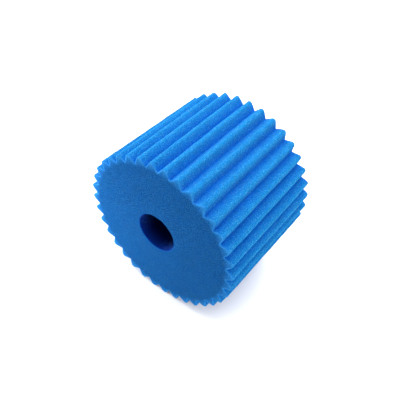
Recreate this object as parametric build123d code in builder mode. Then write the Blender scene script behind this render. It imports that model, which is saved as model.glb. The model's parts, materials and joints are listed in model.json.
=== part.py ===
from build123d import *

import os
from math import acos, cos, degrees, hypot, radians, sin

# Sponge filter cartridge: one block of open-cell foam, cut as a fluted cylinder with a through bore.
# It lies on its side: the bore runs along Y and +Z is up.
# The origin is on the surface that it lies on, straight below the middle of the bore.

# ---- Driving dimensions, in millimetres and degrees ----
crest_diameter = 106.0      # outside, over two opposite rib crests
root_diameter = 97.0        # across two opposite valley bottoms
cartridge_length = 80.0     # between the two flat end faces
bore_diameter = 26.0        # the hole that slides over the pump's core tube
rib_count = 36
crest_round = 1.9           # radius of a rib's rounded crest

# ---- Sizes that follow ----
crest_radius = crest_diameter / 2
root_radius = root_diameter / 2
bore_radius = bore_diameter / 2
rib_pitch = 360.0 / rib_count
half_pitch = rib_pitch / 2
crest_centre_radius = crest_radius - crest_round
straight_down = -90.0

# Two neighbouring crests share the load, one half pitch either side of straight down.
axis_height = crest_centre_radius * cos(radians(half_pitch)) + crest_round


def at(radius, angle):
    """The point of the end section at this distance and direction from the bore's centre."""
    return (radius * cos(radians(angle)), radius * sin(radians(angle)))


# Each flank is the tangent from a valley bottom to the crest's round. Seen from the round's
# centre, the valley bottom lies flank_reach away, and the tangent touches at touch_turn from
# straight outwards.
root_in = crest_centre_radius - root_radius * cos(radians(half_pitch))
root_aside = root_radius * sin(radians(half_pitch))
flank_reach = hypot(root_in, root_aside)
root_turn = 180.0 - degrees(acos(root_in / flank_reach))
touch_turn = root_turn - degrees(acos(crest_round / flank_reach))


def crest_point(crest_angle, turn):
    """The point on a crest's round, turned by this much from straight outwards."""
    centre_x, centre_y = at(crest_centre_radius, crest_angle)
    out_x, out_y = at(crest_round, crest_angle + turn)
    return (centre_x + out_x, centre_y + out_y)


# ---- Foam cartridge ----
front_face = Plane(
    origin=(0, -cartridge_length / 2, axis_height),
    x_dir=(1, 0, 0),
    z_dir=(0, -1, 0),
)

with BuildPart() as foam_cartridge:
    with BuildSketch(front_face):
        with BuildLine():
            for rib in range(rib_count):
                crest_angle = straight_down + half_pitch + rib * rib_pitch
                valley_before = at(root_radius, crest_angle - half_pitch)
                valley_after = at(root_radius, crest_angle + half_pitch)
                flank_end = crest_point(crest_angle, -touch_turn)
                flank_start = crest_point(crest_angle, touch_turn)
                Line(valley_before, flank_end)
                ThreePointArc(flank_end, crest_point(crest_angle, 0), flank_start)
                Line(flank_start, valley_after)
        make_face()
        Circle(bore_radius, mode=Mode.SUBTRACT)
    extrude(amount=-cartridge_length)

foam_cartridge.part.label = "foam_cartridge"

# ---- Export ----
os.makedirs("parts", exist_ok=True)
export_step(foam_cartridge.part, "parts/foam_cartridge.step")
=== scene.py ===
"""A sponge filter cartridge: one block of blue open-cell foam, cut as a fluted cylinder with a bore.

It lies on its side on a pale studio table. Everything is in metres, in the part's own frame:
the bore runs along Y, Z is up, and the table is at Z = 0.
"""

import json
import math

import bpy
import numpy as np
from mathutils import Matrix, Vector, noise


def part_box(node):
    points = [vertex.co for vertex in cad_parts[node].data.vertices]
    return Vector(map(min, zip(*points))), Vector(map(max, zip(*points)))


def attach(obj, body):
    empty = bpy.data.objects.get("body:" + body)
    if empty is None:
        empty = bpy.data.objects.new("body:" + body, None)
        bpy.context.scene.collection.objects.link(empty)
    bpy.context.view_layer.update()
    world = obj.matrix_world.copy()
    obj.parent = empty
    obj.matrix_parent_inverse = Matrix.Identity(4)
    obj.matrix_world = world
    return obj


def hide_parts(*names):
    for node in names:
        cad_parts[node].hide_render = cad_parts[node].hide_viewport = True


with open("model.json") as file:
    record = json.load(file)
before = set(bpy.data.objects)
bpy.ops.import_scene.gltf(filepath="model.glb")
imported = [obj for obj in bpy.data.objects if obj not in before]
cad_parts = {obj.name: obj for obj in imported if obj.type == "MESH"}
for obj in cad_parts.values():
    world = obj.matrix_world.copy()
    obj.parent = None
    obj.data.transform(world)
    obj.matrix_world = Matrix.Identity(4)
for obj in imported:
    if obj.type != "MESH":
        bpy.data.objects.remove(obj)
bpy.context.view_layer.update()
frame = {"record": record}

MM = 0.001

# ---- The cartridge's sizes ----
low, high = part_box("foam_cartridge")
core_bore = next(mount for mount in frame["record"]["mounts"] if mount["name"] == "core_bore")
bore_radius = core_bore["dims"]["r_mm"] * MM
axis_height = core_bore["pos_m"][2]
front_y, back_y = low.y, high.y
length = back_y - front_y

rib_count = 36
rib_pitch = math.tau / rib_count
crest_round = 1.9 * MM
valley_depth = 4.5 * MM
# The box is measured over crests that stand half a pitch off straight up and straight sideways.
crest_radius = ((high.x - low.x) / 2 - crest_round) / math.cos(rib_pitch / 2) + crest_round
root_radius = crest_radius - valley_depth


# ---- Camera ----
def look_from(azimuth, elevation, roll, distance, lens, aim):
    """Azimuth 0 looks along +Y; a positive azimuth walks the camera round towards +X."""
    az, el = math.radians(azimuth), math.radians(elevation)
    away = Vector((math.sin(az) * math.cos(el), -math.cos(az) * math.cos(el), math.sin(el)))
    turn = away.to_track_quat("Z", "Y").to_matrix() @ Matrix.Rotation(math.radians(roll), 3, "Z")
    data = bpy.data.cameras.new("studio_camera")
    data.lens = lens
    data.sensor_width = 36.0
    camera = bpy.data.objects.new("studio_camera", data)
    bpy.context.scene.collection.objects.link(camera)
    aim_right, aim_up = aim
    target = Vector((0, 0, axis_height)) + turn @ Vector((aim_right, aim_up, 0))
    camera.matrix_world = Matrix.Translation(target + away * distance) @ turn.to_4x4()
    bpy.context.scene.camera = camera


look_from(
    azimuth=35.5,
    elevation=44.95,
    roll=3.5,
    distance=314.9 * MM,
    lens=45.5,
    aim=(-0.30 * MM, -1.26 * MM),
)


# ---- Shader maths ----
class Wire:
    """A node's output. Sums with numbers and other wires add Math nodes."""

    def __init__(self, bench, socket):
        self.bench, self.socket = bench, socket

    def maths(self, operation, *values):
        sockets = {f"i{place}": value for place, value in enumerate(values)}
        return self.bench.node("ShaderNodeMath", {"operation": operation}, **sockets)

    def __add__(self, other):
        return self.maths("ADD", self, other)

    def __sub__(self, other):
        return self.maths("SUBTRACT", self, other)

    def __rsub__(self, other):
        return self.maths("SUBTRACT", other, self)

    def __mul__(self, other):
        return self.maths("MULTIPLY", self, other)

    def __abs__(self):
        return self.maths("ABSOLUTE", self)

    __radd__, __rmul__ = __add__, __mul__

    def ramp(self, start, end):
        """0 before start, 1 after end, with a smooth rise between."""
        settings = {"interpolation_type": "SMOOTHSTEP"}
        values = {"Value": self, "From_Min": start, "From_Max": end}
        return self.bench.node("ShaderNodeMapRange", settings, **values)


class Bench:
    """A new material and its nodes."""

    def __init__(self, name):
        self.material = bpy.data.materials.new(name)
        self.material.use_nodes = True
        self.tree = self.material.node_tree
        self.tree.nodes.clear()

    def node(self, kind, settings=None, output=0, **values):
        """Any node by its type: its settings first, then the values or links of its sockets.

        A socket goes by its name with _ for each space, or by its place as i0, i1 and so on.
        """
        made = self.tree.nodes.new(kind)
        for name, setting in (settings or {}).items():
            setattr(made, name, setting)
        for name, value in values.items():
            by_place = name[0] == "i" and name[1:].isdigit()
            socket = made.inputs[int(name[1:]) if by_place else name.replace("_", " ")]
            if isinstance(value, Wire):
                self.tree.links.new(value.socket, socket)
            else:
                socket.default_value = value
        return Wire(self, made.outputs[output])

    def mark(self, name):
        """One of the marks that the mesh carries on each point, from 0 to 1."""
        return self.node("ShaderNodeAttribute", {"attribute_name": name}, "Fac")

    def mixed(self, factor, first, second):
        """Two colours mixed: factor 0 is the first and 1 the second."""
        settings = {"data_type": "RGBA"}
        return self.node("ShaderNodeMix", settings, 2, i0=factor, i6=first, i7=second)

    def scaled(self, colour, tone):
        """A colour made darker or lighter by a tone about 1."""
        return self.node("ShaderNodeVectorMath", {"operation": "SCALE"}, i0=colour, Scale=tone)

    def finish(self, surface):
        output = self.tree.nodes.new("ShaderNodeOutputMaterial")
        self.tree.links.new(surface.socket, output.inputs["Surface"])
        return self.material


def rgb(red, green, blue):
    return (red, green, blue, 1.0)


# ---- Foam ----
# Painted shade in the valleys and painted light on the crests.
VALLEY_SHADE_BLUE = rgb(0.001, 0.084, 0.430)
CREST_LIGHT_BLUE = rgb(0.006, 0.146, 0.395)
# Strut grain, with a painted highlight where it lies on the crests.
STRUT_AND_HIGHLIGHT_BLUE = rgb(0.065, 0.290, 0.470)
# Painted highlight along the cut edges.
EDGE_HIGHLIGHT_BLUE = rgb(0.018, 0.170, 0.450)
# Painted shade on the end faces.
END_FACE_SHADE_BLUE = rgb(0.0008, 0.046, 0.174)
# Painted shade in the bore, deepening inwards.
BORE_MOUTH_SHADE_BLUE = rgb(0.001, 0.018, 0.190)
BORE_DEEP_SHADE_BLUE = rgb(0.0, 0.0015, 0.040)

CELL_SIZE = 0.9 * MM
CELL_BEND = 0.7 * MM
DRIFT_SIZE = 1.6 * MM
FIBRE_SIZE = 0.5 * MM
CLOUD_SIZE = 11 * MM
BUMP_HEIGHT = 0.35 * MM
# Painted shade in the bore: it goes from its mouth's blue to its deep blue over this length.
BORE_SHADE_FADE = 12 * MM


def filter_foam():
    bench = Bench("filter_foam")
    place = bench.node("ShaderNodeTexCoord", output="Object")
    along = bench.node("ShaderNodeSeparateXYZ", output="Y", Vector=place)
    ridge = bench.mark("ridge")
    edge = bench.mark("cut_edge")
    bore = bench.mark("bore_wall")
    end_face = bench.mark("end_face")

    # Open cells: dark pits between a net of lighter struts, no two of one shape.
    drift = bench.node("ShaderNodeTexNoise", output="Color", Vector=place, Scale=1 / DRIFT_SIZE)
    bend = {"i0": drift, "i1": [CELL_BEND] * 3, "i2": place}
    bent = bench.node("ShaderNodeVectorMath", {"operation": "MULTIPLY_ADD"}, **bend)
    cells = {"output": "Distance", "Vector": bent, "Scale": 1 / CELL_SIZE}
    pit = bench.node("ShaderNodeTexVoronoi", {"feature": "DISTANCE_TO_EDGE"}, **cells).ramp(0.05, 0.35)
    fibres = bench.node("ShaderNodeTexNoise", Vector=place, Scale=1 / FIBRE_SIZE, Detail=2.0)
    clouds = bench.node("ShaderNodeTexNoise", Vector=place, Scale=1 / CLOUD_SIZE, Detail=4.0)
    tone = 1.15 - pit * 0.30 + (fibres - 0.5) * 0.6 + (clouds - 0.5) * 0.16
    struts = (1.0 - pit * 0.7) * fibres.ramp(0.50, 0.72)

    # Painted shade in the valleys and painted light on the crests.
    body = bench.mixed(ridge, VALLEY_SHADE_BLUE, CREST_LIGHT_BLUE)
    # Painted shade: the end faces are coloured darker than the flanks.
    body = bench.mixed(end_face, body, END_FACE_SHADE_BLUE)
    # Painted highlight along the cut edges.
    body = bench.mixed(edge * 0.75, body, EDGE_HIGHLIGHT_BLUE)
    # Lighter strut grain, laid on more strongly towards the crests as a painted highlight.
    body = bench.mixed(struts * (0.25 + ridge * 0.45), body, STRUT_AND_HIGHLIGHT_BLUE)
    # Painted shade in the bore, deepening from its mouths inwards.
    depth = (length / 2 - abs(along)).ramp(0, BORE_SHADE_FADE)
    body = bench.mixed(bore, body, bench.mixed(depth, BORE_MOUTH_SHADE_BLUE, BORE_DEEP_SHADE_BLUE))
    bumps = bench.node("ShaderNodeBump", Strength=0.8, Distance=BUMP_HEIGHT, Height=fibres * 0.5 - pit)
    foam = bench.node(
        "ShaderNodeBsdfPrincipled",
        Base_Color=bench.scaled(body, tone),
        Roughness=0.95,
        Normal=bumps,
        Specular_IOR_Level=0.02,
        Sheen_Weight=0.22,
        Sheen_Roughness=0.12,
        Sheen_Tint=rgb(0.30, 0.75, 1.0),
        Subsurface_Weight=0.6,
        Subsurface_Radius=(0.25, 0.6, 1.0),
        Subsurface_Scale=1.0 * MM,
    )
    return bench.finish(foam)


# ---- The foam block's mesh ----
class Skin:
    """Rings of points and the faces between them, with four marks from 0 to 1 on each point."""

    def __init__(self):
        self.points, self.faces = [], []
        self.marks = {"ridge": [], "cut_edge": [], "bore_wall": [], "end_face": []}

    def ring(self, radii, angles, y, shift=(0.0, 0.0, 0.0), **marks):
        """Adds a ring round the cartridge's axis, moved by shift. A mark that isn't given is 0."""
        start = len(self.points)
        across, up = radii * np.cos(angles), radii * np.sin(angles)
        self.points.extend(np.stack([across, np.full_like(radii, y), up], 1) + shift)
        for name, values in self.marks.items():
            values.extend(np.broadcast_to(marks.get(name, 0.0), radii.shape))
        return list(range(start, len(self.points)))

    def band(self, first, second):
        """Four-sided faces between two rings of one count."""
        for here in range(len(first)):
            there = (here + 1) % len(first)
            self.faces.append((first[here], second[here], second[there], first[there]))

    def stitch(self, first, first_angles, second, second_angles, back=False):
        """Triangles from a ring in to another of any count, facing -Y or, with back, +Y."""
        n, m = len(first), len(second)
        outer = np.r_[first_angles, first_angles[0] + math.tau]
        inner = np.r_[second_angles, second_angles[0] + math.tau]
        i = j = 0
        while i < n or j < m:
            if j >= m or (i < n and outer[i + 1] <= inner[j + 1]):
                face = (first[i % n], first[(i + 1) % n], second[j % m])
                i += 1
            else:
                face = (first[i % n], second[(j + 1) % m], second[j % m])
                j += 1
            self.faces.append(face[::-1] if back else face)


def rib_profile(flank_steps, crest_steps):
    """One rib from valley to valley, as radius and angle from the rib's middle."""
    half = rib_pitch / 2
    crest_centre = crest_radius - crest_round
    root_x, root_y = root_radius * math.cos(half), root_radius * math.sin(half)
    inward = crest_centre - root_x
    reach = math.hypot(inward, root_y)
    touch = math.pi - math.acos(inward / reach) - math.acos(crest_round / reach)
    turns = np.linspace(-touch, touch, crest_steps + 1)
    round_x = crest_centre + crest_round * np.cos(turns)
    round_y = crest_round * np.sin(turns)
    climb = np.linspace(0, 1, flank_steps, endpoint=False)
    flank_x = root_x + (round_x[0] - root_x) * climb
    flank_y = -root_y + (round_y[0] + root_y) * climb
    xs = np.r_[flank_x, round_x, flank_x[:0:-1]]
    ys = np.r_[flank_y, round_y, -flank_y[:0:-1]]
    return np.hypot(xs, ys), np.arctan2(ys, xs)


def outline():
    """The end section: distance and direction of each point from the axis."""
    radius, angle = rib_profile(flank_steps=7, crest_steps=8)
    first = -math.pi / 2 + rib_pitch / 2
    angles = [first + rib * rib_pitch + angle for rib in range(rib_count)]
    return np.tile(radius, rib_count), np.concatenate(angles)


def wave(angles, size, count, crest):
    """So many waves to the turn, with one crest in the crest direction, in degrees."""
    return size * np.cos(count * (angles - math.radians(crest)))


def wander(angles, along):
    """How far the cut strays sideways round the cartridge, in radians: along is 0 front, 1 back."""
    front = -1.4 + wave(angles, size=1.03, count=1, crest=-14) + wave(angles, size=1.2, count=2, crest=77)
    back = 1.6 + wave(angles, size=0.6, count=1, crest=-44)
    return np.radians(front + (back - front) * along)


def rounded_rows(edge_round, steps, stations):
    """Places along the length, each with how far the cut edge's rounding has drawn it in."""
    rows = []
    for step in range(steps):
        turn = math.pi / 2 * step / steps
        rows.append((front_y + edge_round * (1 - math.cos(turn)), edge_round * (1 - math.sin(turn))))
    middle = np.linspace(front_y + edge_round, back_y - edge_round, stations)
    ends = [(front_y + back_y - y, inset) for y, inset in rows[::-1]]
    return rows + [(y, 0.0) for y in middle] + ends


# How uneven the cut is: each pair is how far it strays in or out, and over what length.
CUT_UNEVENNESS = ((0.16 * MM, 25 * MM), (0.12 * MM, 7 * MM), (0.11 * MM, 1.7 * MM))


def roughen(mesh):
    """Moves each point in or out along its normal, and keeps it on or above the table."""
    for vertex, normal in zip(mesh.vertices, [Vector(entry.vector) for entry in mesh.vertex_normals]):
        offset = sum(depth * noise.noise(vertex.co / reach) for depth, reach in CUT_UNEVENNESS)
        moved = vertex.co + normal * offset
        vertex.co = (moved.x, moved.y, max(moved.z, 0.0))


# The cut edges: how round the outer ones and the bore's are, and how far the painted edge highlight
# reaches.
EDGE_ROUND = 0.3 * MM
BORE_EDGE = 0.4 * MM
EDGE_HIGHLIGHT_REACH = 1.1 * MM
BORE_COUNT = 144
# How far the bore's front mouth is off centre. The back mouth is central.
BORE_LEAN = np.array((-1.2, 0.0, 1.2)) * MM
# Rings on an end face: first along the outline, then round ones that stand wider apart towards the bore.
RIM_INSETS = (0.7 * MM, 1.1 * MM)
FACE_INSET = 1.6 * MM
FACE_SPACING = 1.3 * MM
FACE_SPREAD = 0.035
BORE_MARGIN = 2 * MM


def foam_block():
    radii, angles = outline()
    x, z = radii * np.cos(angles), radii * np.sin(angles)
    tangent_x, tangent_z = np.roll(x, -1) - np.roll(x, 1), np.roll(z, -1) - np.roll(z, 1)
    stretch = np.hypot(tangent_x, tangent_z)
    normal_x, normal_z = tangent_z / stretch, -tangent_x / stretch
    ridge = np.clip((radii - root_radius) / valley_depth, 0, 1)
    skin = Skin()

    def section(y, inset):
        """The outline at one place along the length, drawn in by inset."""
        drawn_x, drawn_z = x - normal_x * inset, z - normal_z * inset
        turned = np.arctan2(drawn_z, drawn_x) + wander(angles, (y - front_y) / length)
        return np.hypot(drawn_x, drawn_z), np.unwrap(turned)

    side = []
    for y, inset in rounded_rows(EDGE_ROUND, steps=4, stations=88):
        from_end = min(y - front_y, back_y - y)
        edge = max(0.0, 1 - from_end / EDGE_HIGHLIGHT_REACH)
        side.append(skin.ring(*section(y, inset), y, ridge=ridge, cut_edge=edge))
    for first, second in zip(side, side[1:]):
        skin.band(first, second)

    bore_angles = angles[0] + np.arange(BORE_COUNT) * math.tau / BORE_COUNT
    bore = []
    for y, inset in rounded_rows(BORE_EDGE, steps=3, stations=56):
        rim = inset / BORE_EDGE
        bore_radii = np.full(BORE_COUNT, bore_radius + inset)
        shift = BORE_LEAN * (back_y - y) / length
        bore.append(skin.ring(bore_radii, bore_angles, y, shift, bore_wall=1 - rim, end_face=rim))
    for first, second in zip(bore[1:], bore):
        skin.band(first, second)

    for outer, inner, y in ((side[0], bore[0], front_y), (side[-1], bore[-1], back_y)):
        back = y == back_y
        ring = outer
        for inset in RIM_INSETS:
            ring_radii, ring_angles = section(y, inset)
            edge = 1 - (inset - EDGE_ROUND) / EDGE_HIGHLIGHT_REACH
            # The painted shade on the end faces thins out over the rib teeth.
            marks = {"ridge": ridge, "cut_edge": edge, "end_face": 1 - 0.6 * ridge}
            drawn = skin.ring(ring_radii, ring_angles, y, **marks)
            first, second = (ring, drawn) if back else (drawn, ring)
            skin.band(first, second)
            ring = drawn
        radius = root_radius - FACE_INSET
        while radius > bore_radius + BORE_MARGIN:
            spacing = FACE_SPACING + (root_radius - radius) * FACE_SPREAD
            count = max(BORE_COUNT, int(math.tau * radius / spacing))
            next_angles = ring_angles[0] + np.arange(count) * math.tau / count
            drawn = skin.ring(np.full(count, radius), next_angles, y, end_face=1.0)
            skin.stitch(ring, ring_angles, drawn, next_angles, back)
            ring, ring_angles = drawn, next_angles
            radius -= spacing
        skin.stitch(ring, ring_angles, inner, bore_angles, back)

    points = np.array(skin.points)
    points[:, 2] += axis_height
    mesh = bpy.data.meshes.new("filter_foam")
    mesh.from_pydata(points.tolist(), [], skin.faces)
    roughen(mesh)
    for name, values in skin.marks.items():
        mesh.attributes.new(name, "FLOAT", "POINT").data.foreach_set("value", values)
    mesh.polygons.foreach_set("use_smooth", [True] * len(mesh.polygons))
    block = bpy.data.objects.new("foam_block", mesh)
    bpy.context.scene.collection.objects.link(block)
    return block


# ---- Studio ----
def table_top():
    bench = Bench("pale_table")
    place = bench.node("ShaderNodeTexCoord", output="Object")
    cloud = bench.node("ShaderNodeTexNoise", Vector=place, Scale=3.0)
    colour = bench.mixed(cloud, rgb(0.90, 0.90, 0.90), rgb(0.92, 0.92, 0.92))
    board = bench.node("ShaderNodeBsdfPrincipled", Base_Color=colour, Roughness=0.8)
    half = 4.0
    corners = [(-half, -half, 0), (half, -half, 0), (half, half, 0), (-half, half, 0)]
    mesh = bpy.data.meshes.new("table_top")
    mesh.from_pydata(corners, [], [(0, 1, 2, 3)])
    mesh.materials.append(bench.finish(board))
    top = bpy.data.objects.new("table_top", mesh)
    bpy.context.scene.collection.objects.link(top)


def softbox(name, towards, distance, size, power):
    data = bpy.data.lights.new(name, "AREA")
    data.shape, data.size, data.energy = "SQUARE", size, power
    lamp = bpy.data.objects.new(name, data)
    lamp.visible_camera = False
    direction = Vector(towards).normalized()
    place = Vector((0, 0, axis_height)) + direction * distance
    lamp.matrix_world = Matrix.Translation(place) @ direction.to_track_quat("Z", "Y").to_matrix().to_4x4()
    bpy.context.scene.collection.objects.link(lamp)


# The large softboxes: which way each one is from the cartridge, and its power in watts.
SOFTBOXES = {
    "overhead_softbox": ((0, 0, 1), 5.0),
    "left_softbox": ((-0.8, 0, 0.7), 8.6),
    "right_softbox": ((0.8, 0, 0.7), 4.8),
    "back_softbox": ((0, 0.8, 0.7), 15.7),
}


def studio():
    table_top()
    for name, (towards, power) in SOFTBOXES.items():
        softbox(name, towards, distance=1.1, size=0.9, power=power)
    softbox("left_fill", (-0.12, -0.13, -0.02), distance=0.178, size=0.08, power=0.32)
    world = bpy.data.worlds.new("studio_dome")
    world.use_nodes = True
    background = world.node_tree.nodes["Background"]
    background.inputs["Color"].default_value = rgb(1.0, 1.0, 1.0)
    background.inputs["Strength"].default_value = 0.7
    bpy.context.scene.world = world
    bpy.context.scene.view_settings.view_transform = "Standard"


block = foam_block()
block.data.materials.append(filter_foam())
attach(block, "root")
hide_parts("foam_cartridge")
studio()
